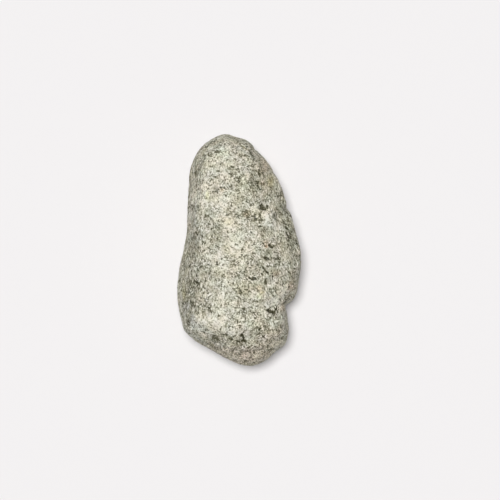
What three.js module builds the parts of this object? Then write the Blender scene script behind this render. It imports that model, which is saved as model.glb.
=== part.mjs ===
// A rough piece of fuchsite: one worn, long lump of grey-green mica rock with a blunt crown, a broad waist,
// a notch low on its right edge and a skewed foot. It lies on its back on a small flat spot.
//
// Units are millimetres and +Z is up. +Y runs from the foot to the crown, and +X to the right as the broad
// show face is looked down on. The origin is under the middle of the stone, on the surface that it rests on.
import * as THREE from "three";
import { mergeVertices } from "three/addons/utils/BufferGeometryUtils.js";
import { ImprovedNoise } from "three/addons/math/ImprovedNoise.js";

// ---------------------------------------------------------------- driving dimensions
const LENGTH = 44.8; // along Y, foot to crown
const WIDTH = 23.8; // along X, across the waist
const THICKNESS = 17.2; // along Z, from the resting face to the show face, before their lumps
const REST_CUT = 0.65; // how much of the lowest bulge is worn away into the resting spot
const MESH_DETAIL = 19; // icosphere subdivision: 20 * (MESH_DETAIL + 1)^2 triangles
const MERGE_DISTANCE = 1e-5; // vertices of the unit ball that are nearer than this are one

const HALF_LENGTH = LENGTH / 2;
const HALF_WIDTH = WIDTH / 2;
const RIM_HEIGHT = THICKNESS * 0.49; // mean height of the widest contour

// ---------------------------------------------------------------- outline seen from above
// Places are shares of the half width (across) and of the half length (along). A closed curve joins them.
const crown = [[-0.65, 0.86], [-0.37, 0.97], [-0.21, 0.995], [-0.02, 0.96], [0.1, 0.95]];
const shoulder = [[0.24, 0.89], [0.28, 0.86], [0.43, 0.77], [0.58, 0.645], [0.7, 0.51]];
const rightFlank = [[0.785, 0.36], [0.85, 0.285], [0.94, 0.09], [0.985, -0.07], [0.985, -0.2]];
const notch = [[0.94, -0.365], [0.87, -0.43], [0.78, -0.475], [0.76, -0.515], [0.79, -0.64]];
const foot = [[0.8, -0.72], [0.73, -0.83], [0.61, -0.87], [0.42, -0.96], [0.18, -1.0], [0.01, -0.985]];
const skewedEdge = [[-0.2, -0.935], [-0.715, -0.775], [-0.87, -0.7], [-0.95, -0.565]];
const leftFlank = [[-1.0, -0.4], [-0.96, -0.165], [-0.85, 0.16], [-0.83, 0.48], [-0.78, 0.72]];
const outline = [...crown, ...shoulder, ...rightFlank, ...notch, ...foot, ...skewedEdge, ...leftFlank];
const HUB = { x: -0.2, y: -0.8 }; // the point that outline radii are measured from
const OUTLINE_SAMPLES = 1440;
const CORE_SMOOTHING = 14; // degrees to either side, over which the outline is averaged for the rings inside it
const CORE_STEPS = 3; // samples to either side in that average

// ---------------------------------------------------------------- soft facets
// Each facet is a plane: its height at one place, and how it falls to the right and towards the crown, in
// millimetres per millimetre. Facets meet in worn edges of radius FACET_BLEND.
const FACET_BLEND = 2.3;
const frontFacets = [
  { name: "show face", at: [-0.25, -0.2], height: THICKNESS, fall: [0.04, 0.03] },
  { name: "left slope", at: [-0.76, -0.2], height: THICKNESS - 1.9, fall: [-1.8, 0.16] },
  { name: "right slope", at: [0.4, -0.1], height: THICKNESS - 1.1, fall: [0.56, 0.02] },
  { name: "shoulder slope", at: [0.2, 0.62], height: THICKNESS - 1.0, fall: [0.95, 0.35] },
  { name: "crown slope", at: [-0.3, 0.72], height: THICKNESS - 1.9, fall: [0.05, 0.36] },
  { name: "skewed slope", at: [-0.4, -0.74], height: THICKNESS - 1.6, fall: [-0.45, -1.3] },
  { name: "foot slope", at: [0.35, -0.8], height: THICKNESS - 2.4, fall: [0.2, -0.6] },
];
const backFacets = [
  { name: "resting face", at: [-0.05, -0.05], height: -REST_CUT, fall: [-0.01, 0.01] },
  { name: "left undercut", at: [-0.62, -0.1], height: 1.4, fall: [0.4, -0.04] },
  { name: "right undercut", at: [0.5, 0.0], height: 1.2, fall: [-0.46, -0.08] },
  { name: "crown undercut", at: [-0.1, 0.58], height: 1.1, fall: [0.1, -0.34] },
  { name: "foot undercut", at: [0.1, -0.7], height: 1.0, fall: [0.08, 0.24] },
];

// How far in from the outline the stone rolls over before its facets take over: heading in degrees from +X.
const ROLL_POWER = 2.35; // 2 rolls as an ellipse does, and more is blunter
const edgeRolls = [
  { name: "left flank", heading: -176, front: 2.6, back: 6.5 },
  { name: "skewed edge", heading: -125, front: 3.2, back: 6.5 },
  { name: "foot", heading: -85, front: 4.6, back: 5.8 },
  { name: "right lobe", heading: -20, front: 4.4, back: 7.5 },
  { name: "right flank", heading: 25, front: 5.0, back: 7.5 },
  { name: "shoulder", heading: 65, front: 4.6, back: 7.0 },
  { name: "crown", heading: 100, front: 4.8, back: 6.2 },
  { name: "upper left", heading: 140, front: 3.6, back: 7.0 },
];

// ---------------------------------------------------------------- lumps and hollows
// Rise is in millimetres, reach is the two half sizes of a lump, and turn swings its first reach from +X
// towards +Y, in degrees.
const frontForms = [
  { name: "crest of the show face", at: [-0.3, 0.2], reach: [2.2, 9], turn: 8, rise: 0.3 },
  { name: "scoop of the shoulder", at: [0.45, 0.58], reach: [2.2, 5], turn: 24, rise: -0.35 },
  { name: "hollow under the ledge", at: [0.14, 0.31], reach: [1.9, 1.1], turn: -12, rise: -0.6 },
  { name: "crease beside the ledge", at: [0.38, 0.38], reach: [2.3, 0.9], turn: 8, rise: -0.7 },
  { name: "knob below the crease", at: [0.47, 0.28], reach: [1.7, 1.5], turn: 0, rise: 0.75 },
  { name: "furrow behind the knob", at: [0.66, 0.27], reach: [1.0, 2.2], turn: 20, rise: -0.4 },
  { name: "swelling of the right lobe", at: [0.62, -0.12], reach: [3.2, 5], turn: 0, rise: 0.45 },
  { name: "valley in from the notch", at: [0.68, -0.47], reach: [2.6, 1.2], turn: 4, rise: -1.0 },
  { name: "pit by the notch", at: [0.55, -0.47], reach: [1.4, 0.9], turn: -12, rise: -0.8 },
  { name: "lower lobe", at: [0.55, -0.68], reach: [2.6, 2.4], turn: 0, rise: 0.5 },
  { name: "pit above the foot", at: [0.09, -0.76], reach: [1.1, 1.6], turn: 10, rise: -0.7 },
  { name: "swelling above the skewed slope", at: [-0.45, -0.55], reach: [3.4, 2.2], turn: -12, rise: 0.35 },
  { name: "dent in the skewed slope", at: [-0.38, -0.77], reach: [1.8, 1.2], turn: -20, rise: -0.35 },
  { name: "dip of the left slope", at: [-0.72, -0.28], reach: [1.6, 3.6], turn: 0, rise: -0.35 },
];
const backForms = [
  { name: "long keel", at: [0.0, 0.05], reach: [3.0, 9], turn: -8, rise: -0.5 },
  { name: "scooped break", at: [-0.45, 0.4], reach: [3.2, 4.6], turn: 25, rise: 1.0 },
  { name: "broken corner", at: [0.42, -0.6], reach: [3.0, 3.4], turn: 0, rise: 0.9 },
  { name: "small hollow", at: [-0.35, -0.5], reach: [2.2, 2.0], turn: 0, rise: 0.6 },
];

// Weathering over the whole stone: layers of smooth noise, each with its wavelength and its depth.
const weathering = [
  { wavelength: 9, depth: 0.6, offset: 3.7 },
  { wavelength: 4.2, depth: 0.36, offset: 11.3 },
  { wavelength: 2.1, depth: 0.2, offset: 23.9 },
];
const RIM_WEATHERING = 0.3; // share of it left at the rim, so that the outline stays true

const noise = new ImprovedNoise();

// Radius of the outline from the hub, by angle: the curve is walked once and its angles are looked up.
function outlineRadii() {
  const points = outline.map(([u, v]) => new THREE.Vector3(u * HALF_WIDTH, v * HALF_LENGTH, 0));
  const curve = new THREE.CatmullRomCurve3(points, true, "centripetal");
  return curve
    .getSpacedPoints(OUTLINE_SAMPLES)
    .map((p) => ({
      angle: Math.atan2(p.y - HUB.y, p.x - HUB.x),
      radius: Math.hypot(p.x - HUB.x, p.y - HUB.y),
    }))
    .sort((a, b) => a.angle - b.angle);
}

const radii = outlineRadii();

// The outline's radius at an angle, found between its two nearest samples.
function outlineRadius(angle) {
  let low = 0;
  let high = radii.length - 1;
  if (angle <= radii[low].angle || angle >= radii[high].angle) return radii[low].radius;
  while (high - low > 1) {
    const middle = (low + high) >> 1;
    if (radii[middle].angle <= angle) low = middle;
    else high = middle;
  }
  const share = (angle - radii[low].angle) / (radii[high].angle - radii[low].angle || 1);
  return THREE.MathUtils.lerp(radii[low].radius, radii[high].radius, share);
}

// Radius at a share of the way out: the outline's dents and corners die away from the rim inwards.
function ringRadius(angle, share) {
  let sum = 0;
  for (let step = -CORE_STEPS; step <= CORE_STEPS; step++) {
    const turned = angle + THREE.MathUtils.degToRad((CORE_SMOOTHING * step) / CORE_STEPS);
    sum += outlineRadius(Math.atan2(Math.sin(turned), Math.cos(turned)));
  }
  return THREE.MathUtils.lerp(sum / (2 * CORE_STEPS + 1), outlineRadius(angle), share * share * share);
}

// The lesser of two heights, with the corner between them worn to a radius of about blend.
function wornMin(a, b, blend) {
  const h = Math.max(blend - Math.abs(a - b), 0) / blend;
  return Math.min(a, b) - h * h * blend * 0.25;
}

function facetHeight(facet, x, y) {
  const dx = x - facet.at[0] * HALF_WIDTH;
  const dy = y - facet.at[1] * HALF_LENGTH;
  return facet.height - facet.fall[0] * dx - facet.fall[1] * dy;
}

function formRise(forms, x, y) {
  let rise = 0;
  for (const form of forms) {
    const turn = THREE.MathUtils.degToRad(form.turn);
    const dx = x - form.at[0] * HALF_WIDTH;
    const dy = y - form.at[1] * HALF_LENGTH;
    const along = (dx * Math.cos(turn) + dy * Math.sin(turn)) / form.reach[0];
    const across = (dy * Math.cos(turn) - dx * Math.sin(turn)) / form.reach[1];
    rise += form.rise * Math.exp(-(along * along + across * across));
  }
  return rise;
}

// Width of the rolled edge at a heading, eased from one named place of the outline to the next.
function edgeRoll(heading, side) {
  const degrees = THREE.MathUtils.radToDeg(heading);
  const count = edgeRolls.length;
  const after = edgeRolls.findIndex((roll) => roll.heading > degrees);
  const next = edgeRolls[after < 0 ? 0 : after];
  const last = edgeRolls[((after < 0 ? 0 : after) + count - 1) % count];
  const span = THREE.MathUtils.euclideanModulo(next.heading - last.heading, 360);
  const step = THREE.MathUtils.euclideanModulo(degrees - last.heading, 360);
  return THREE.MathUtils.lerp(last[side], next[side], THREE.MathUtils.smoothstep(step / span, 0, 1));
}

// Height of the show face over a place, before its edge is rolled over.
function frontHeight(x, y) {
  const heights = frontFacets.map((facet) => facetHeight(facet, x, y));
  const worn = heights.reduce((low, height) => wornMin(low, height, FACET_BLEND));
  return worn + formRise(frontForms, x, y);
}

// Height of the underside over a place, likewise.
function backHeight(x, y) {
  const depths = backFacets.map((facet) => -facetHeight(facet, x, y));
  const worn = depths.reduce((low, depth) => wornMin(low, depth, FACET_BLEND));
  return formRise(backForms, x, y) - worn;
}

// The widest contour isn't level: it rises and falls round the stone.
function rimHeight(angle) {
  return RIM_HEIGHT + 0.9 * Math.sin(angle * 2 + 0.6) + 0.5 * Math.cos(angle * 3 - 0.4);
}

// A unit direction becomes a point of the stone: its heading picks the outline's radius, and its
// steepness slides the point from the rim to the middle of the show face or of the underside.
function stonePoint(direction) {
  const heading = Math.atan2(direction.y, direction.x);
  const share = Math.min(1, Math.hypot(direction.x, direction.y));
  const radius = ringRadius(heading, share);
  const x = HUB.x + radius * share * Math.cos(heading);
  const y = HUB.y + radius * share * Math.sin(heading);
  const rim = THREE.MathUtils.lerp(RIM_HEIGHT, rimHeight(heading), share);
  const front = direction.z >= 0;
  const inward = Math.min(1, (radius * (1 - share)) / edgeRoll(heading, front ? "front" : "back"));
  const rolled = Math.pow(1 - Math.pow(1 - inward, ROLL_POWER), 1 / ROLL_POWER);
  const face = front ? frontHeight(x, y) : backHeight(x, y);
  return new THREE.Vector3(x, y, rim + (face - rim) * rolled);
}

// Weathering moves a point along the stone's own outward direction there, and less so on an upright side.
function weathered(point, outward) {
  let depth = 0;
  for (const layer of weathering) {
    const p = point.clone().divideScalar(layer.wavelength).addScalar(layer.offset);
    depth += layer.depth * noise.noise(p.x, p.y, p.z);
  }
  const share = THREE.MathUtils.lerp(RIM_WEATHERING, 1, Math.min(1, Math.abs(outward.z) * 1.5));
  return point.clone().addScaledVector(outward, depth * share);
}

// A ball of near-even triangles is drawn out into the stone, and then weathered.
function makeStone() {
  const ball = new THREE.IcosahedronGeometry(1, MESH_DETAIL);
  ball.deleteAttribute("normal");
  ball.deleteAttribute("uv");
  const geometry = mergeVertices(ball, MERGE_DISTANCE);
  moveVertices(geometry, (direction) => stonePoint(direction.normalize()));
  moveVertices(geometry, weathered);
  settle(geometry);
  return geometry;
}

// Each vertex goes where its rule sends it, given its place and the surface's outward direction there.
function moveVertices(geometry, rule) {
  geometry.computeVertexNormals();
  const position = geometry.getAttribute("position");
  const normal = geometry.getAttribute("normal");
  for (let i = 0; i < position.count; i++) {
    const point = new THREE.Vector3().fromBufferAttribute(position, i);
    const outward = new THREE.Vector3().fromBufferAttribute(normal, i);
    const moved = rule(point, outward);
    position.setXYZ(i, moved.x, moved.y, moved.z);
  }
  geometry.computeVertexNormals();
}

// Wears the lowest bulge flat, and puts the origin under the middle of the stone on that flat spot.
function settle(geometry) {
  geometry.computeBoundingBox();
  const box = geometry.boundingBox;
  const floor = box.min.z + REST_CUT;
  const position = geometry.getAttribute("position");
  for (let i = 0; i < position.count; i++) position.setZ(i, Math.max(position.getZ(i), floor));
  geometry.translate(-(box.min.x + box.max.x) / 2, -(box.min.y + box.max.y) / 2, -floor);
  geometry.computeVertexNormals();
}

const fuchsite = new THREE.Mesh(
  makeStone(),
  new THREE.MeshStandardMaterial({ color: 0xada99a, roughness: 0.78, metalness: 0 }),
);
fuchsite.name = "fuchsite";

const stone = new THREE.Group();
stone.add(fuchsite);

export default stone;
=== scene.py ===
# %% [markdown]
# # A rough piece of fuchsite
#
# The object is one worn lump of mica rock, about as long as a thumb. The frame brings its form in as a plain,
# closed solid. This lesson adds what is finer: the swells of the weathered skin, the grains that stand proud
# or have dropped out, and the salt-and-pepper colour. The stone lies on its back, so the camera looks down.

# %% Load the frame
import math

import bpy
import numpy as np
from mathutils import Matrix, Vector


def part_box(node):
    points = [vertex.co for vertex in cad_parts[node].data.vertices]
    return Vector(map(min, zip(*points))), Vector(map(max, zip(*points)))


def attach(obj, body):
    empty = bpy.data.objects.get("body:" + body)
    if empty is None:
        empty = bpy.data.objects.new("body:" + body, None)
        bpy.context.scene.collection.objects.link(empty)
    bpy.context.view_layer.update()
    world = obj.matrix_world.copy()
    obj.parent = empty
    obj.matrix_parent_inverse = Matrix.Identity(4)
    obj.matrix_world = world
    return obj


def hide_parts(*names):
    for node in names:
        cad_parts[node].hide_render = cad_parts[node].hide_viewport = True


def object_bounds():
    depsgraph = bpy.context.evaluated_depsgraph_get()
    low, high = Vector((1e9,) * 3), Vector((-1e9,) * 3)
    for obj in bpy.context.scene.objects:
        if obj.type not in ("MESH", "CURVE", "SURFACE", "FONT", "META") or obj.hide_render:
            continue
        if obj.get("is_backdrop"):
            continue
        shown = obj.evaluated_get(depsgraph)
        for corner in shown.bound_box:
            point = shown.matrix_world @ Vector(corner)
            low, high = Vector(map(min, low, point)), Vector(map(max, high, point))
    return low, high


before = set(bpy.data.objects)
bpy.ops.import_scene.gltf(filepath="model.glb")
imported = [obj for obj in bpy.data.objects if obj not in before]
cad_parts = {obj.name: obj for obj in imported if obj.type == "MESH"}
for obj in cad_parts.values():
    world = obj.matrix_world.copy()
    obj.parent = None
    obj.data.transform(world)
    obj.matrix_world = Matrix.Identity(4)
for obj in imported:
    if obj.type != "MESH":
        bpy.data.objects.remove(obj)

MM = 0.001
solid_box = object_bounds()
lowest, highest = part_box("fuchsite")
print("solid stone, mm:", [round(side / MM, 1) for side in highest - lowest])

# %% [markdown]
# ## Sums on sockets
#
# The rock's pattern is a recipe of sums: a little of this noise, less of that one, only where a third is
# high. Clicked together, that is a hundred nodes that nobody can read afterwards. So a socket is wrapped in a
# small class that knows arithmetic, and `tone + 0.2 * speck` lays the nodes by itself. It serves the shader
# and the geometry alike, because both kinds of tree share their Math and noise nodes.

# %% A socket that knows arithmetic
def both_ways(operation):
    """A Math operation for a wire on the left of its sign, and for one on the right, as in 1 - mask."""

    def on_the_left(self, other):
        return self.math(operation, self, other)

    def on_the_right(self, other):
        return self.math(operation, other, self)

    return on_the_left, on_the_right


class Wire:
    """One output of a node. Arithmetic on it adds Math nodes to the tree that it belongs to."""

    def __init__(self, socket):
        self.socket = socket
        self.tree = socket.id_data

    __add__, __radd__ = both_ways("ADD")
    __sub__, __rsub__ = both_ways("SUBTRACT")
    __mul__, __rmul__ = both_ways("MULTIPLY")

    def node(self, kind, settings=None, sockets=None, output=None):
        """Adds any node to the same tree, as add_node does."""
        return add_node(self.tree, kind, settings, sockets, output)

    def math(self, operation, *operands):
        return self.node("ShaderNodeMath", {"operation": operation}, dict(enumerate(operands)))

    def vector(self, operation, *operands, **by_name):
        """Vector Math with this wire as its first operand."""
        sockets = {**dict(enumerate((self, *operands))), **by_name}
        return self.node("ShaderNodeVectorMath", {"operation": operation}, sockets)

    def step(self, low, high):
        """0 below low and 1 above high, eased between them. High may be the lesser, which turns it round."""
        wanted = {"Value": self, "From Min": low, "From Max": high}
        return self.node("ShaderNodeMapRange", {"interpolation_type": "SMOOTHSTEP"}, wanted)


def plug(socket, value):
    """Links a wire to a socket, or sets a plain value on it."""
    if isinstance(value, Wire):
        socket.id_data.links.new(value.socket, socket)
    else:
        socket.default_value = value


def add_node(tree, kind, settings=None, sockets=None, output=None):
    """Adds any node: settings first, then values or wires by a socket's name or place. Returns one output."""
    made = tree.nodes.new(kind)
    for name, setting in (settings or {}).items():
        if name == "stops":
            set_stops(made.color_ramp, setting)
        else:
            setattr(made, name, setting)
    for key, value in (sockets or {}).items():
        plug(next(s for place, s in enumerate(made.inputs) if s.enabled and key in (place, s.name)), value)
    return Wire(next(s for s in made.outputs if s.enabled and output in (None, s.name)))


def set_stops(ramp, stops):
    """Gives a colour ramp its stops: place and linear colour."""
    while len(ramp.elements) > 1:
        ramp.elements.remove(ramp.elements[-1])
    for place, colour in stops:
        stop = ramp.elements[0] if place == stops[0][0] else ramp.elements.new(place)
        stop.position = place
        stop.color = (*colour, 1)


print("sockets now add, subtract and multiply")

# %% [markdown]
# ## Noise by the millimetre
#
# Every pattern here has a size on the real stone, so the helpers take millimetres instead of a scale. A
# Voronoi pattern gives grains with a border, and noise gives clouds. A place can be pushed about first, which
# frays straight borders, or drawn out along one direction, which turns round specks into short needles of
# mica, side by side. Any number will do as a pattern's shift, if no other of its kind has the same.

# %% Patterns in millimetres
def pattern_at(place, size, shift):
    """The sockets that all patterns share: the place, moved by its shift, and the scale."""
    return {"Vector": place.vector("ADD", (2 * shift, shift, -shift)), "Scale": 1 / size}


def noise(place, size, shift=0.0, detail=2.0, roughness=0.5):
    """Soft noise whose lumps are about size millimetres across, from about 0.2 to 0.8."""
    wanted = {**pattern_at(place, size, shift), "Detail": detail, "Roughness": roughness}
    return place.node("ShaderNodeTexNoise", None, wanted, "Fac")


def cells(place, size, shift):
    """Grains of about size millimetres: the number that each one draws, 0 to 1."""
    colour = place.node("ShaderNodeTexVoronoi", None, pattern_at(place, size, shift), "Color")
    return place.node("ShaderNodeSeparateXYZ", None, {"Vector": colour}, "X")


def seams(place, size, shift):
    """Distance to the nearest border between the grains that cells draws at the same size and shift."""
    to_edge = {"feature": "DISTANCE_TO_EDGE"}
    return place.node("ShaderNodeTexVoronoi", to_edge, pattern_at(place, size, shift), "Distance")


def wandered(place, size, reach):
    """The same place, pushed about by up to reach millimetres, so that grains lose their straight sides."""
    wanted = {"Vector": place, "Scale": 1 / size, "Detail": 2.0}
    push = place.node("ShaderNodeTexNoise", None, wanted, "Color").vector("SUBTRACT", (0.5, 0.5, 0.5))
    return place.vector("ADD", push.vector("SCALE", Scale=2 * reach))


def drawn_out(place, turn, stretch):
    """The same place in a frame turned about the upright, and squeezed so that grains come out long."""
    wanted = {"Vector": place, "Angle": math.radians(-turn)}
    turned = place.node("ShaderNodeVectorRotate", {"rotation_type": "Z_AXIS"}, wanted)
    return turned.vector("MULTIPLY", (1 / stretch, 1, 1))


print("patterns ready")

# %% [markdown]
# ## The grain of the rock
#
# The rock is a felt of pale grains, half a millimetre wide, with a dark film of mica in part of the seams
# between them, and with flecks and needles of it wherever it had room to grow. So the pattern is built on
# two sets of cells, and broad, soft noise shifts the odds: the dark mica crowds in some places and thins out
# in others. Both the relief and the colour read this recipe, so dark grains really sit a little lower.

# %% Grain recipe
GRAINS, SMALL_GRAINS = (0.62, 1.7), (0.34, 6.1)    # size and shift, the same for cells and their seams
FRAY = (0.6, 0.22)      # size and reach of the wobble in their borders
NEEDLES = (-41, 2.6)    # turn and stretch


def grain(place):
    """The rock at a place in millimetres: its grains, the mica between them and its flecks."""
    bent = wandered(place, *FRAY)
    crowd = noise(place, 2.0, shift=5.0) - 0.5
    patch = noise(bent, 0.9, shift=2.2)
    odds = noise(place, 0.8, shift=9.0)
    needle = noise(drawn_out(bent, *NEEDLES), 0.42, shift=3.1, detail=1.0)
    fleck = noise(bent, 0.42, shift=12.0, roughness=0.6)
    film_here = (odds + 0.5 * crowd).step(0.44, 0.6)
    thin_here = (patch + 0.4 * crowd).step(0.45, 0.62)
    return {
        "shade": cells(bent, *GRAINS) - 0.5,
        "small": cells(bent, *SMALL_GRAINS) - 0.5,
        "film": seams(bent, *GRAINS).step(0.14, 0.04) * film_here,
        "thin": seams(bent, *SMALL_GRAINS).step(0.18, 0.05) * thin_here,
        "blot": (fleck + 0.35 * crowd).step(0.62, 0.69),
        "needle": (needle + 0.25 * crowd).step(0.66, 0.73),
        "crowd": crowd,
        "patch": patch - 0.5,
    }


def total(rock, shares):
    """Some parts of the rock added up, each times its share."""
    return sum(share * rock[part] for part, share in shares.items())


print("grain recipe ready")

# %% [markdown]
# ## A fine skin over the solid
#
# The solid's facets are a millimetre wide, far too coarse to carry grains. A copy of it has its loose
# triangles joined into one sheet, and two rounds of subdivision turn each of them into a dozen small quads
# and round the facets off. A voxel remesh lays its grid along the axes, which leaves terraces on slopes this
# gentle.

# %% Subdivide a copy
def add_object(name, data):
    """A new object in the scene, at the origin."""
    made = bpy.data.objects.new(name, data)
    bpy.context.scene.collection.objects.link(made)
    return made


def plain_mesh(name, thing):
    """The evaluated mesh of an object as an object of its own, with no modifiers left on it."""
    graph = bpy.context.evaluated_depsgraph_get()
    mesh = bpy.data.meshes.new_from_object(thing.evaluated_get(graph), depsgraph=graph)
    mesh.name = name
    return add_object(name, mesh)


blank = add_object("blank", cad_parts["fuchsite"].data.copy())
weld = blank.modifiers.new("weld", "WELD")
weld.merge_threshold = 0.001 * MM
rounding = blank.modifiers.new("rounding", "SUBSURF")
rounding.levels = rounding.render_levels = 2
skin = plain_mesh("skin", blank)
bpy.data.objects.remove(blank)


def vertex_values(mesh, name):
    """A vector of every vertex, such as its place or its normal, as rows of three numbers."""
    values = np.empty(len(mesh.vertices) * 3)
    mesh.vertices.foreach_get(name, values)
    return values.reshape(-1, 3)


points = vertex_values(skin.data, "co") / MM
normals = vertex_values(skin.data, "normal")
print("skin has", len(skin.data.polygons), "faces")
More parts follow.
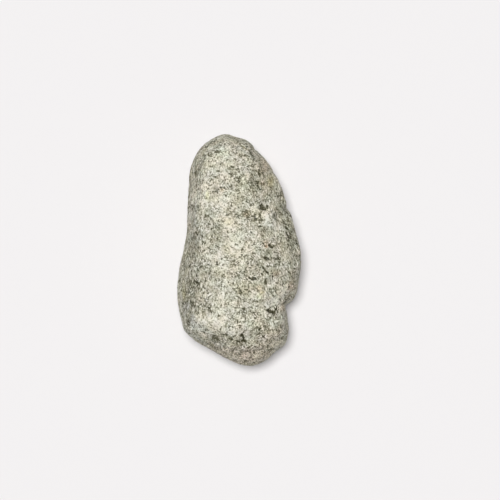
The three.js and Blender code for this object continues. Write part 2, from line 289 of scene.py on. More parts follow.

# %% [markdown]
# ## Dark marks with a place of their own
#
# Noise gives the kind of pattern that the rock has, but the stone is also recognised by marks that sit in
# one place: a black pit by the notch, a chain of pits above the foot, a bar across the shoulder. Each is a
# small ragged oval: its middle, its reach along and across, its strength and, if it is turned, its turn, in
# millimetres and degrees, seen from above. The marks are grouped by the part of the stone that they are on.
# The last group holds single grains from all over. Most dark marks were picked one by one. The last group and
# some marks of the others weren't: a program compared a render with the real stone, and they stand where it
# found the largest differences.

# %% Dark marks on the show face
# middle x, y, reach along, reach across, strength, and the turn where there is one
# some dark marks are painted shade: those of the great pit and the chain of pits darken the pits as shade at
# their bottom, on top of their dark mica
DARK_MARKS = {
    "crown": [
        (-4.08, 18.65, 0.45, 0.24, 0.9), (-1.84, 18.18, 0.37, 0.13, 0.6, 90),
        (-1.84, 15.37, 0.3, 0.17, 0.7, 25), (-1.27, 15.65, 0.37, 0.19, 0.8, -20),
        (-0.34, 15.27, 0.28, 0.19, 0.8), (0.6, 15.37, 0.15, 0.15, 0.6), (0.41, 17.8, 0.37, 0.28, 0.7),
        (1.35, 17.93, 0.32, 0.24, 0.6), (2.66, 15.74, 0.19, 0.17, 0.8), (3.04, 14.99, 0.37, 0.3, 0.6),
        (2.29, 18.37, 0.84, 0.15, 0.5, -58), (-3.9, 14.9, 0.34, 0.19, 0.6), (-7.74, 15.37, 0.19, 0.19, 0.6),
        (-5.4, 18.08, 0.45, 0.37, 0.6), (-6.52, 17.99, 0.34, 0.26, 0.5),
    ],
    "left shoulder": [
        (-1.18, 14.34, 0.3, 0.17, 0.7, 30), (-1.46, 13.87, 0.15, 0.26, 0.5),
        (-4.37, 13.74, 0.45, 0.19, 0.7, -12), (-5.11, 13.31, 0.17, 0.17, 0.7),
        (-8.21, 14.52, 0.56, 0.26, 0.7, 85), (-7.64, 13.02, 0.21, 0.19, 0.6),
        (-8.02, 11.43, 0.26, 0.17, 0.4, 20), (-4.08, 11.34, 0.3, 0.28, 0.55),
        (-4.55, 10.96, 0.37, 0.15, 0.6, 10), (-6.9, 10.87, 0.24, 0.34, 0.5), (-3.15, 11.81, 0.37, 0.22, 0.6),
        (-1.46, 11.99, 0.37, 0.24, 0.6), (-5.4, 10.68, 0.28, 0.22, 0.5),
    ],
    "right shoulder": [
        (-0.24, 13.59, 0.56, 0.21, 0.75, 8), (-0.52, 13.02, 0.41, 0.19, 0.5), (0.47, 12.37, 0.3, 0.24, 0.6),
        (2.38, 12.93, 0.75, 0.24, 0.4, 90), (3.41, 12.46, 0.49, 0.37, 0.3), (3.41, 12.87, 0.19, 0.17, 0.8),
        (2.57, 11.24, 0.41, 0.22, 0.5), (3.82, 14.43, 0.49, 0.19, 0.8, -65), (2.47, 14.15, 0.21, 0.19, 0.7),
        (4.54, 12.46, 0.26, 0.3, 0.6), (4.63, 14.05, 0.11, 0.47, 0.5), (0.04, 10.68, 0.28, 0.22, 0.5),
    ],
    "ledge": [
        (1.78, 9.09, 0.34, 0.3, 0.7, 20), (3.6, 9, 0.34, 0.19, 0.6, -30), (4.31, 8.4, 0.28, 0.3, 0.9),
        (4.63, 7.87, 0.67, 0.3, 0.9, 8), (5.34, 8.34, 0.22, 0.24, 0.9), (5.57, 8.02, 0.3, 0.15, 0.8, 20),
        (4.16, 7.21, 0.19, 0.3, 0.65), (1.16, 7.03, 0.56, 0.41, 0.6, 20), (1.73, 6.37, 0.34, 0.41, 0.5),
        (3.97, 6.47, 0.17, 0.45, 0.75), (2.76, 6.37, 0.41, 0.13, 0.8), (3.13, 5.85, 0.26, 0.3, 0.8),
        (4.26, 5.66, 0.56, 0.19, 0.7), (6.6, 6.56, 0.19, 0.37, 0.7, 20), (7.16, 5.81, 0.52, 0.15, 0.45, -25),
        (8, 6.93, 0.45, 0.28, 0.6, -10), (8.15, 8.25, 0.19, 0.19, 0.7), (9.22, 7.12, 0.22, 0.19, 0.6),
        (9.41, 6, 0.26, 0.49, 0.6), (2.29, 8.43, 0.3, 0.24, 0.6),
    ],
    "waist": [
        (4.07, 4.46, 0.37, 0.15, 0.8), (4.91, 3.65, 0.56, 0.13, 0.5, 40), (4.46, 2.68, 0.22, 0.19, 0.8),
        (9.97, 3, 0.24, 0.49, 0.55),
    ],
    "left hollow": [
        (-3.9, 4.5, 0.49, 0.45, 0.45), (-5.68, 4.91, 0.3, 0.19, 0.65), (-5.11, 3.94, 0.21, 0.17, 0.8),
        (-4.96, 2.49, 0.19, 0.24, 0.65), (-5.21, 1.87, 0.17, 0.22, 0.5), (-8.58, 8.25, 0.24, 0.64, 0.65),
        (-8.77, 6.56, 0.17, 0.56, 0.5), (-8.02, 3.28, 0.41, 0.28, 0.6), (-8.68, 2.16, 0.26, 0.22, 0.6),
        (-2.21, 2.44, 0.3, 0.22, 0.5), (-1.09, 8.81, 0.3, 0.22, 0.5), (-6.05, 6.37, 0.56, 0.28, 0.5),
    ],
    "left flank": [
        (-8.39, 0.84, 0.19, 0.37, 0.5), (-9.71, -0.75, 0.19, 0.3, 0.5), (-8.02, -2.06, 0.3, 0.19, 0.6, -50),
        (-6.63, -1.69, 0.19, 0.17, 0.5), (-7.83, -6.22, 0.49, 0.24, 0.9, -35), (-8.3, -5.81, 0.22, 0.19, 0.7),
        (-6.2, -5.77, 0.21, 0.17, 0.7), (-8.86, -7.12, 0.19, 0.15, 0.7), (-8.9, -10.21, 0.19, 0.49, 0.7, 15),
        (-9.71, -9.03, 0.21, 0.19, 0.6), (-9.89, -9.74, 0.19, 0.15, 0.6), (-9.71, -12.74, 0.49, 0.6, 0.45),
        (-9.52, -13.96, 0.37, 0.41, 0.6), (-6.71, -11.62, 0.26, 0.17, 0.65),
        (-5.58, -10.96, 0.15, 0.34, 0.55, -20), (-5.02, -11.43, 0.24, 0.17, 0.5),
        (-4.08, -10.87, 0.34, 0.22, 0.4), (-3.33, -10.49, 0.15, 0.3, 0.5, -20),
        (-3.71, -12.37, 0.17, 0.17, 0.5), (-2.96, -4.87, 0.3, 0.26, 0.6), (-5.02, -5.06, 0.28, 0.22, 0.55),
        (-7.27, -7.31, 0.34, 0.3, 0.5),
    ],
    "middle": [
        (0.64, -0.09, 0.13, 0.41, 0.65), (-0.43, 1.03, 0.34, 0.17, 0.6, -20),
        (-1.27, -1.12, 0.24, 0.15, 0.6, -40), (-0.99, -2.06, 0.37, 0.19, 0.6, 15),
        (-0.24, -2.34, 0.26, 0.15, 0.5, -50), (1.44, -1.12, 0.3, 0.26, 0.5),
        (0.28, -1.31, 0.3, 0.13, 0.5, 20), (3.97, -2.06, 0.34, 0.26, 0.55), (3.97, 0, 0.26, 0.22, 0.5),
    ],
    "lower middle": [
        (1.31, -3.75, 0.15, 0.37, 0.75), (1.05, -4.5, 0.11, 0.41, 0.5, -10),
        (1.48, -4.4, 0.11, 0.34, 0.5, 15), (2.06, -5.25, 0.28, 0.22, 1, -40),
        (2.79, -5.4, 0.45, 0.28, 0.95, 5), (3.51, -5.4, 0.34, 0.15, 0.4), (0.28, -7.8, 0.3, 0.36, 0.85),
        (-0.15, -4.68, 0.26, 0.26, 0.5),
    ],
    "right lobe": [
        (5.19, 0.66, 0.22, 0.19, 0.45), (6.04, 0.69, 0.52, 0.22, 1, -32), (5.85, 1.12, 0.17, 0.22, 0.8),
        (6.78, 0.79, 0.41, 0.19, 0.4, -10), (5.19, -1.61, 0.6, 0.26, 1, -22),
        (5.29, -0.84, 0.49, 0.13, 0.4, 10), (7.4, -1.31, 0.17, 0.49, 0.75, 14),
        (7.63, -2.53, 0.15, 0.45, 0.55, 20), (4.72, -3.49, 0.52, 0.17, 0.9, -52),
        (5.32, -4.18, 0.34, 0.19, 1, -40), (5.38, -3.09, 0.21, 0.15, 0.5),
        (4.35, -4.59, 0.32, 0.15, 0.7, -60), (5.02, -6.07, 0.26, 0.45, 0.8), (4.72, -7.21, 0.21, 0.22, 0.5),
        (6.04, -7.31, 0.45, 0.11, 0.5), (6.93, -7.23, 0.15, 0.17, 0.7), (6.6, -8.77, 0.36, 0.15, 0.75, -55),
        (9.78, -5.96, 0.56, 0.09, 0.3, -8),
    ],
    # painted shade: the darkness inside the pit, on top of its real hollow
    "great pit": [
        (7.91, -9.52, 0.37, 0.13, 0.8, -62), (9, -10.27, 0.17, 0.21, 0.8), (6.22, -11.49, 0.82, 0.32, 1, -14),
        (6.69, -11.6, 0.52, 0.3, 1), (5.66, -11.34, 0.36, 0.24, 1), (7.2, -10.96, 0.17, 0.32, 0.8, -30),
        (6.97, -11.9, 0.45, 0.24, 0.5), (4.97, -10.74, 0.24, 0.11, 0.8, -35), (4.35, -9.56, 0.37, 0.19, 0.6),
        (5.1, -14.67, 0.13, 0.37, 0.5, 25), (5.38, -13.06, 0.28, 0.17, 0.5),
    ],
    "plain": [
        (-0.06, -9.93, 0.15, 0.34, 0.4), (0.98, -11.71, 0.41, 0.75, 0.5), (0.94, -11.04, 0.3, 0.3, 0.8),
        (1.26, -12.65, 0.13, 0.52, 0.55), (3.13, -12.18, 0.64, 0.09, 0.75, -45),
        (2.1, -12.56, 0.11, 0.34, 0.4, 20), (3.07, -12.86, 0.22, 0.13, 0.5),
        (3.32, -9.65, 0.32, 0.17, 0.6, 20), (0.17, -14.43, 0.17, 0.3, 0.5, 15),
        (3.79, -14.8, 0.49, 0.26, 0.4), (-2.02, -13.31, 0.3, 0.22, 0.5), (2.47, -9.74, 0.37, 0.19, 0.5),
    ],
    "left slope": [
        (-6.05, -15.05, 0.3, 0.19, 0.7, -10), (-4.55, -16.49, 0.6, 0.37, 0.75, -25),
        (-3.99, -17.05, 0.37, 0.34, 0.8), (-2.4, -15.93, 0.26, 0.19, 0.5, -50),
        (-1.55, -16.62, 0.37, 0.24, 0.8, -35), (-8.3, -15.65, 0.52, 0.45, 0.4, -30),
        (-7.27, -16.58, 0.17, 0.26, 0.5), (-2.87, -18.18, 0.3, 0.17, 0.55, 20),
        (-1.14, -19.21, 0.17, 0.41, 0.7, -30), (-5.21, -18.18, 0.26, 0.19, 0.5),
    ],
    # painted shade: the darkness inside these pits, on top of their real hollows
    "chain of pits": [
        (0.54, -16.12, 0.34, 0.22, 1, 10), (0.98, -15.52, 0.24, 0.13, 0.7, 25),
        (0.92, -16.58, 0.19, 0.45, 1, 15), (0.98, -17.24, 0.49, 0.22, 0.95), (0.47, -16.96, 0.11, 0.26, 0.5),
        (-0.3, -17.24, 0.3, 0.22, 0.85), (0.38, -17.67, 0.45, 0.13, 0.75, -45),
        (-0.24, -18.08, 0.49, 0.11, 0.4, -52), (2.34, -16.21, 0.13, 0.26, 0.4),
    ],
    "foot": [
        (1.07, -18.37, 0.64, 0.07, 0.55, -45), (2.57, -15.55, 0.45, 0.11, 0.6, -48),
        (6.41, -15.1, 0.94, 0.11, 0.4, -3), (7.67, -15.37, 0.21, 0.21, 0.6), (5.57, -17.11, 0.19, 0.11, 0.5),
        (3.47, -18.46, 0.3, 0.13, 0.6, 10), (1.78, -18.55, 0.21, 0.15, 0.6), (5.53, -18.37, 0.21, 0.32, 0.6),
        (6.04, -19.02, 0.6, 0.17, 0.45), (1.35, -19.3, 0.17, 0.26, 0.4), (4.72, -19.86, 0.3, 0.19, 0.45),
        (3.88, -20.8, 0.26, 0.15, 0.5),
    ],
    "strays": [
        (3.22, 6.75, 0.35, 0.28, 0.55), (5.47, 1.5, 0.38, 0.3, 0.55), (0.23, 3.94, 0.5, 0.28, 0.5),
        (3.41, -5.43, 0.4, 0.26, 0.6, 10), (3.97, -2.25, 0.34, 0.3, 0.55), (-7.08, -11.99, 0.32, 0.3, 0.5),
        (3.97, -15.74, 0.36, 0.32, 0.5, 90), (-5.77, 4.5, 0.38, 0.3, 0.45), (1.35, 1.5, 0.38, 0.28, 0.5),
        (-1.09, 14.99, 0.5, 0.32, 0.45), (0.98, 16.3, 0.34, 0.3, 0.45, 90), (-4.46, 15.55, 0.34, 0.3, 0.45),
        (-8.02, -2.25, 0.34, 0.25, 0.45, 90), (2.29, 11.24, 0.34, 0.28, 0.45),
    ],
}


def rows_of(groups):
    """All rows of a table that is kept in groups."""
    return [row for group in groups.values() for row in group]


print(len(rows_of(DARK_MARKS)), "dark marks")

# %% [markdown]
# ## Pale marks
#
# The other half of salt and pepper: grains of white quartz, crests that handling has rubbed pale, and painted
# glints where the light caught a flat flake of mica, kept in the same way. A hand-painted texture could hold
# them all, but ovals stay sharp at any distance and can be moved one by one. About half of the pale marks
# were found by that comparison.

# %% Pale marks on the show face
# painted highlights: the pale marks of strength 0.9 and 1, and the first three in the middle, are glints
PALE_MARKS_AND_GLINTS = {
    "crown": [
        (-3.33, 19.26, 0.22, 0.22, 1), (-5.4, 19.4, 0.56, 0.28, 0.75, -10), (-1.27, 17.24, 0.24, 0.41, 0.6),
        (-1.18, 16.3, 0.37, 0.3, 0.7), (-5.96, 15.74, 0.45, 0.26, 0.5), (-6.15, 14.9, 0.56, 0.3, 0.5),
        (-5.77, 14.99, 0.41, 0.3, 0.55), (-4.65, 16.49, 0.41, 0.3, 0.5),
    ],
    "shoulders": [
        (0.79, 13.46, 0.19, 0.17, 0.9), (-0.15, 14.17, 0.37, 0.28, 0.6), (1.84, 10.23, 0.45, 0.34, 0.7),
        (3.97, 11.81, 0.28, 0.24, 0.5), (4.54, 9.56, 0.37, 0.3, 0.5), (6.04, 12.37, 0.34, 0.26, 0.4),
        (-2.77, 14.05, 0.75, 0.56, 0.35, 20), (-4.27, 11.81, 0.75, 0.47, 0.35, 30),
        (-7.46, 11.62, 0.3, 0.34, 0.5), (-5.58, 11.81, 0.37, 0.26, 0.45), (-7.46, 9.74, 0.3, 0.45, 0.45),
    ],
    "left hollow": [
        (-4.27, 8.62, 0.94, 0.67, 0.45), (-7.46, 9, 0.56, 0.56, 0.35), (-1.84, 5.81, 0.94, 0.56, 0.55, -20),
        (-1.09, 3.94, 0.6, 0.94, 0.4, 20), (-7.64, 2.53, 0.17, 0.17, 0.5), (-0.99, 2.44, 0.19, 0.26, 0.6),
        (-7.64, 7.5, 0.45, 0.34, 0.6), (-4.08, 7.12, 0.37, 0.37, 0.45),
    ],
    "ledge and waist": [
        (0.98, 4.97, 0.3, 0.19, 0.6, -40), (5, 5.06, 0.45, 0.3, 0.5), (1.16, 4.5, 0.37, 0.3, 0.6),
        (6.52, 3.64, 0.37, 0.37, 0.55), (2.66, 4.87, 0.37, 0.28, 0.5), (-0.09, 2.06, 0.37, 0.41, 0.65),
        (5, 6.47, 0.75, 0.79, 0.45), (5.57, 7.03, 0.22, 0.3, 0.4), (2.76, 7.4, 0.37, 0.56, 0.5, 20),
        (1.35, 8.71, 0.3, 0.17, 0.5), (6.04, 7.31, 0.19, 0.37, 0.4, 30),
    ],
    "middle": [
        (-1.27, -0.37, 0.19, 0.37, 0.8, 10), (1.26, -0.47, 0.45, 0.19, 0.75, 40),
        (2.94, -0.28, 0.49, 0.19, 0.6, -40), (2.1, 0.94, 0.19, 0.3, 0.6), (3.04, -2.62, 0.28, 0.37, 0.6),
    ],
    "left flank": [
        (-2.77, -3.19, 0.84, 0.84, 0.35), (-3.05, -8.43, 0.15, 0.45, 0.6, 10),
        (-2.87, -10.31, 0.11, 0.52, 0.6), (-3.33, -11.99, 0.75, 0.94, 0.4, 10),
        (-3.71, -13.49, 0.75, 0.56, 0.45), (-6.05, -13.12, 0.56, 0.15, 0.5, 30),
        (-4.83, -10.49, 0.19, 0.37, 0.5, 40), (-6.05, -7.68, 0.34, 0.34, 0.5),
        (-6.71, -14.8, 0.45, 0.26, 0.5, -10), (-5.21, -1.87, 0.37, 0.26, 0.45),
        (-3.15, -9.18, 0.37, 0.45, 0.45), (-9.14, -2.25, 0.3, 0.26, 0.4),
    ],
    "right lobe and great pit": [
        (5.66, -6.71, 0.28, 0.19, 1), (6.71, -1.01, 0.49, 0.37, 0.8), (7.53, -7.87, 0.3, 0.34, 0.5),
        (5.34, -10.68, 0.49, 0.22, 1, -40), (7.16, -13.49, 0.45, 0.21, 1, 15),
        (6.41, -13.96, 0.37, 0.19, 0.4, 30), (4.63, -10.12, 0.49, 0.09, 0.5, -45),
        (5.85, -9.56, 0.15, 0.45, 0.4, -50),
    ],
    "above the foot": [
        (0.79, -13.08, 0.24, 0.21, 1), (0.84, -14.24, 0.17, 0.56, 0.75, 20), (0.15, -13.12, 0.37, 0.26, 0.5),
        (-0.34, -11.43, 0.28, 0.37, 0.55), (1.2, -15.74, 0.17, 0.3, 0.6), (0.41, -16.49, 0.15, 0.19, 0.4),
        (1.73, -15.55, 0.22, 0.56, 0.4, 10), (1.44, -16.79, 0.22, 0.32, 0.6),
        (-2.87, -17.33, 0.56, 0.13, 0.5, -45),
    ],
    "foot": [
        (0.98, -20.24, 0.45, 0.3, 0.4), (4.44, -19.4, 0.49, 0.26, 0.45, -30),
        (1.73, -19.98, 0.49, 0.34, 0.75), (8.28, -16.3, 0.34, 0.3, 0.7),
    ],
    "lower middle": [
        (-1.46, -5.81, 0.41, 0.41, 0.55), (0.6, -8.81, 0.28, 0.28, 0.5),
    ],
    "strays": [
        (-7.83, 9.18, 0.3, 0.28, 0.8), (5.29, -10.96, 0.34, 0.2, 0.8, -40), (-2.77, -3.75, 0.34, 0.3, 0.8),
        (-7.64, 3.37, 0.32, 0.28, 0.75), (0.98, 2.62, 0.34, 0.32, 0.7), (1.54, -17.24, 0.55, 0.2, 0.7, 90),
        (0.41, -15.55, 0.26, 0.24, 0.75), (1.16, -20.61, 0.28, 0.28, 0.7), (-6.71, -14.99, 0.3, 0.3, 0.7),
        (-7.46, 6.93, 0.5, 0.22, 0.65, 90), (-7.46, 11.24, 0.36, 0.26, 0.65, 90), (1.91, 4.5, 0.8, 0.25, 0.6),
        (-2.59, 15.18, 0.34, 0.3, 0.6), (-4.83, 11.81, 0.6, 0.28, 0.55),
    ],
}
print(len(rows_of(PALE_MARKS_AND_GLINTS)), "pale marks")

# %% [markdown]
# ## Stains and broad tones
#
# Besides its marks, the stone changes slowly from place to place. Rust has seeped into a crease, and one
# hollow is bluish. The broad tones are partly the rock's own lightness and partly painted light and shade:
# paler on crests and slopes that face the light, darker on walls and slopes turned from it. These are soft
# ovals with no edge. A stain multiplies the colour of the rock, and a broad tone adds to its lightness.
#
# Most of the broad tones weren't picked by eye either. The same kind of comparison listed where a render was
# too dark or too light, by how much and how far it reached, and the rows follow those lists. The last seven
# stains follow differences in hue that a program measured.

# %% Stains and tones on the show face
# middle x, y, reach along, across, what red, green and blue are multiplied by, turn
STAINS = {
    "yellow green on the left crest": (-5.9, 10.3, 0.8, 0.4, (1, 1.03, 0.86), 90),
    "olive in the upper right crease": (6.1, 13.1, 1.1, 0.6, (1.05, 1, 0.8), 75),
    "pink strip beside it": (4.8, 15.7, 1.7, 0.75, (1.06, 0.99, 0.95), 70),
    "peach speck": (-3.1, 11.3, 0.42, 0.38, (1.1, 0.98, 0.88)),
    "blue grey hollow": (-4.1, 11.1, 0.38, 0.34, (0.93, 0.99, 1.12)),
    "rust by the waist": (5.2, 0.65, 0.26, 0.22, (1.3, 0.95, 0.8)),
    "pink above the rust": (5.1, 1.4, 0.64, 0.6, (1.08, 0.985, 0.95)),
    "peach on the lobe": (3.9, -7.1, 0.64, 0.5, (1.09, 0.99, 0.9)),
    "yellow on the lobe": (4.35, -8, 0.45, 0.3, (1.08, 1.02, 0.8)),
    "yellow green below it": (3.8, -8.7, 0.56, 0.38, (0.99, 1.03, 0.87)),
    "olive dot": (0.15, -7.9, 0.45, 0.38, (1.08, 1, 0.85), 90),
    "olive on the left edge": (-10.5, -8.4, 1.3, 0.34, (1.04, 1.02, 0.86), 90),
    "violet patch": (-9.7, -10.5, 0.56, 0.45, (1, 0.98, 1.06), 90),
    "brown patch": (7, -4.5, 0.75, 0.56, (1.06, 0.98, 0.94)),
    "tip of the right lobe": (10, -6.9, 0.94, 0.84, (1.05, 0.98, 0.99), 90),
    "wall of the notch": (8.5, -10.7, 0.84, 0.47, (1.1, 0.97, 0.9), 90),
    "round lobe": (6.2, -16.5, 2.1, 1.5, (1.045, 0.985, 0.975)),
    "lower left edge": (-4.6, -18.9, 1.5, 0.66, (1.04, 0.985, 0.96), -25),
    "brown hollow": (1.35, 6.7, 0.75, 0.56, (1.08, 0.99, 0.9)),
    "upper right wall": (4.35, 12.6, 0.56, 0.56, (1.06, 0.98, 0.95)),
    "cream crest": (-1.8, 5.2, 1.5, 1.1, (1.02, 1, 0.95), 90),
    "sage plain": (2.1, -13.9, 0.94, 0.75, (0.975, 1.01, 0.98)),
    "sage crown": (-3, 18.4, 1.1, 0.94, (0.97, 1.012, 0.985)),
    "green grey shoulder": (0.6, 12.2, 1.1, 1.1, (0.97, 1.01, 0.985)),
    "olive line on the crown": (1, 19.5, 0.84, 0.26, (1.04, 1, 0.84), -30),
    "cool left hollow": (-6.9, 4.1, 4.5, 1.9, (0.97, 0.995, 1.045), 90),
    "cool left flank": (-9.7, -13.5, 3.7, 2.2, (0.97, 0.99, 1.04), 90),
    "warm upper right": (5.8, 13.1, 3.9, 1.7, (1.03, 0.995, 0.94), 100),
    "warm crest": (-0.9, 4.7, 5.6, 2.8, (1.015, 1.003, 0.97), 75),
    "warm base of the lobe": (2.3, -6.9, 3.4, 1.7, (1.02, 1, 0.95)),
    "rosy foot": (1, -20.3, 4.9, 2.2, (1.045, 0.965, 0.945), 5),
    "rosy notch": (9.9, -6.6, 2.6, 1.1, (1.01, 0.985, 0.99), 90),
}
# middle x, y, reach along, across, what is added to the tone, turn
# partly the rock's own lightness, partly painted light on crests and painted shade on walls, slopes and
# hollows
TONES_AND_PAINTED_LIGHT = {
    "crown and shoulders": [
        (-0.1, 16.7, 1.69, 0.94, -0.1), (-3.15, 18.4, 0.7, 0.7, 0.08), (-3.4, 14.4, 0.75, 0.75, 0.1),
        (-7.3, 10.3, 1.69, 0.94, 0.26, 90), (-5, 15.9, 1.69, 0.94, 0.1, 90),
        (-3.1, 8.4, 1.69, 0.94, 0.18, 90), (-1.5, 10.1, 0.94, 0.75, 0.12), (-7.3, 15.7, 1.12, 0.94, -0.1, 90),
        (-4.8, 10.1, 0.94, 0.75, -0.14, 90), (-6.5, 15.9, 0.94, 0.75, -0.1, 90),
        (-5.8, 14.8, 0.75, 0.75, 0.07), (-4.7, 13.3, 0.8, 0.7, -0.08), (3.4, 13.5, 2.44, 1.69, -0.17, 90),
        (-0.9, 11.8, 1.69, 0.94, -0.13), (0, 8.4, 1.87, 0.94, -0.15, 90), (-0.1, 14.1, 0.94, 0.94, 0.17),
        (2.3, 12.4, 1.69, 0.94, -0.14, 90), (2.85, 13.6, 0.8, 0.7, 0.1, 90),
    ],
    "ledge and waist": [
        (5.5, 6.9, 1.5, 0.94, 0.42, 90), (2.7, 9, 0.94, 0.94, 0.1), (1.5, 6.9, 1.12, 0.75, -0.04),
        (2.8, 5.8, 1.5, 1.31, -0.25), (7.7, 7.3, 0.94, 0.94, -0.12), (5.1, 10.3, 1.5, 0.94, -0.14, 90),
        (4.3, 5.8, 0.75, 0.75, -0.12), (7, 8.2, 0.75, 0.75, -0.12), (6, 6.4, 0.8, 0.8, 0.1),
        (7.5, 3.4, 1.31, 1.12, 0.13, 90), (5.1, 3.6, 1.5, 0.94, -0.24), (9.8, 3, 1.5, 0.75, -0.14, 90),
        (6.2, 4.9, 1.31, 0.75, 0.14, 90), (8.3, 0.6, 1.5, 0.94, -0.09, 90), (6.8, 3.6, 0.94, 0.75, 0.14, 90),
        (7.4, 4.5, 0.8, 0.75, -0.08),
    ],
    "left hollow and flank": [
        (-1.8, 4.5, 2.44, 1.5, 0.1, 65), (-1.8, 6.6, 0.94, 0.94, -0.24), (-5.8, 5.2, 1.31, 1.31, -0.05),
        (-3.7, 3.6, 1.87, 1.31, -0.26, 100), (-7.1, 2.4, 1.5, 0.94, -0.26),
        (-6.3, 6.7, 1.12, 0.94, -0.14, 90), (-8.6, -0.4, 1.31, 0.94, -0.17, 90),
        (-4.8, 5.4, 0.94, 0.94, 0.12), (-4.3, 0.7, 1.12, 0.94, -0.14, 90), (-1.1, 6.1, 0.9, 0.75, -0.08, 90),
        (-5.2, -11.6, 1.12, 0.94, -0.08), (-6.5, -3.9, 1.5, 1.31, -0.28, 20),
        (-9.1, -9.4, 4.12, 1.12, -0.06, 90), (-6.9, -10.7, 1.69, 1.31, -0.19),
        (-4.6, -7.3, 1.12, 0.94, -0.17, 90), (-7.8, -5.6, 1.12, 0.75, 0.16, 90),
        (-9.1, -9.2, 1.31, 0.75, -0.12, 90), (-7.1, -7.1, 0.94, 0.75, -0.12, 90),
        (-10.6, -9.2, 1.12, 0.56, 0.12, 90), (-4.3, -7.6, 0.9, 0.8, 0.09, 90),
        (-10.5, -6.9, 0.8, 0.6, -0.1, 90), (-7.5, -8.4, 0.9, 0.75, -0.08, 90),
    ],
    "middle": [
        (-0.7, 1.3, 2.25, 1.12, 0.2, 105), (-3, -2.6, 1.5, 1.5, 0.09), (-5.2, -1.5, 1.87, 0.94, 0.14),
        (2.5, 1.3, 0.75, 0.75, 0.1), (-1.6, -2.2, 1.12, 0.94, -0.14, 90), (1.4, 3, 0.94, 0.75, -0.1),
        (0.6, 2.44, 0.8, 0.75, 0.08), (-2.4, 1.7, 1.5, 0.9, -0.1), (-3, -4.9, 1.12, 0.94, -0.14),
        (1.5, -5.4, 0.94, 0.75, 0.1, 90), (2.3, -3.6, 1.5, 1.12, -0.23, 90), (3.4, -6.7, 1.5, 1.12, -0.13),
        (0.2, -8.2, 2.25, 1.5, -0.13, 90), (1.4, -5.2, 0.75, 0.75, 0.1), (-0.3, -4.3, 0.75, 0.75, -0.08),
        (-1.8, -8.2, 0.94, 0.94, -0.14), (-0.8, -7.3, 1, 0.8, 0.07),
    ],
    "right lobe and great pit": [
        (8.7, -3, 1.31, 0.75, 0.2, 90), (7, -0.6, 0.94, 0.75, 0.08, 90), (7, -2.2, 3, 1.87, -0.07, 90),
        (5.3, -0.7, 1.31, 1.12, -0.26), (4.3, -3.6, 1.12, 1.12, -0.1, 20),
        (10.2, -5.2, 2.25, 0.75, -0.19, 90), (7.2, -3.7, 1.12, 0.94, -0.17, 90),
        (10, -6.4, 0.94, 0.75, -0.1, 90), (8.5, -6.9, 0.94, 0.94, 0.1), (5.3, -7, 0.8, 0.75, -0.1),
        (7.3, -8.4, 2.25, 1.5, 0.24, 75), (6.6, -9.9, 1.12, 0.75, 0.2), (4, -10.1, 0.94, 0.94, -0.1),
        (5.3, -13.9, 1.12, 1.12, -0.19), (7.7, -11.1, 1.12, 0.94, 0.14, 90), (7.7, -15, 1.12, 0.94, -0.1),
        (6.9, -12.1, 0.8, 0.75, -0.07),
    ],
    "slope and foot": [
        (2.8, -13.5, 1.69, 0.94, 0.08), (1.5, -12, 1.5, 0.94, -0.1, 90), (-1.5, -12.6, 1.12, 0.94, -0.1, 90),
        (-5, -13.1, 2.62, 1.31, 0.08), (-6.9, -14.8, 2.25, 1.12, 0.24, -8),
        (-2.8, -14.8, 2.62, 1.12, 0.12, 8), (-4.6, -16.3, 1.69, 0.94, -0.06), (-2.8, -18.7, 1.12, 0.94, 0.1),
        (-5.8, -13.5, 0.94, 0.94, -0.1), (-3.9, -17.1, 0.8, 0.75, -0.1), (0, -17.1, 1.12, 1.12, -0.12),
        (0, -17.4, 0.8, 0.75, -0.08), (2.8, -16.3, 1.12, 0.94, -0.22, 90), (4.3, -17.8, 1.69, 1.12, -0.05),
        (4.9, -17.1, 0.75, 0.75, 0.09), (5.5, -15.8, 1.8, 0.8, -0.06),
    ],
}
TONE_GAIN = 1.1    # on all of them together
FACING = 0.3       # the upright part of the normal below which an oval fades out


def directions(turn):
    """The directions along and across an oval that is turned by some degrees, seen from above."""
    cosine, sine = math.cos(math.radians(turn)), math.sin(math.radians(turn))
    return np.array([cosine, sine, 0.0]), np.array([-sine, cosine, 0.0])


def soft_oval(x, y, along, across, turn=0):
    """How much of a soft oval on the show face each vertex feels, 0 to 1."""
    long_way, cross_way = directions(turn)
    away = points - (x, y, 0)
    falling = (away @ long_way / along) ** 2 + (away @ cross_way / across) ** 2
    return np.exp(-falling) * np.clip(normals[:, 2] / FACING, 0, 1)


def felt(rows):
    """For each row of a table, its soft oval and its amount."""
    for x, y, along, across, amount, *turn in rows:
        yield soft_oval(x, y, along, across, *turn), amount


stain = np.ones((len(points), 3))
for oval, times in felt(STAINS.values()):
    stain *= 1 + oval[:, None] * (np.array(times) - 1)
broad_tone_and_painted_light = np.zeros(len(points))
for oval, amount in felt(rows_of(TONES_AND_PAINTED_LIGHT)):
    broad_tone_and_painted_light += amount * oval
print(len(STAINS), "stains and", len(rows_of(TONES_AND_PAINTED_LIGHT)), "broad tones")

# %% [markdown]
# ## Lively and quiet stretches
#
# Salt and pepper isn't equally strong all over. The right rim is rubbed nearly even, while on the left edge
# every grain stands out, and slopes show their grains better than level ground. One number for each vertex
# says how strongly they show, where 1 is the usual. The dark grains are the stronger ones, so a livelier
# stretch would turn darker as well, and a little tone makes up for that. The numbers were set from measured
# contrast, place by place.

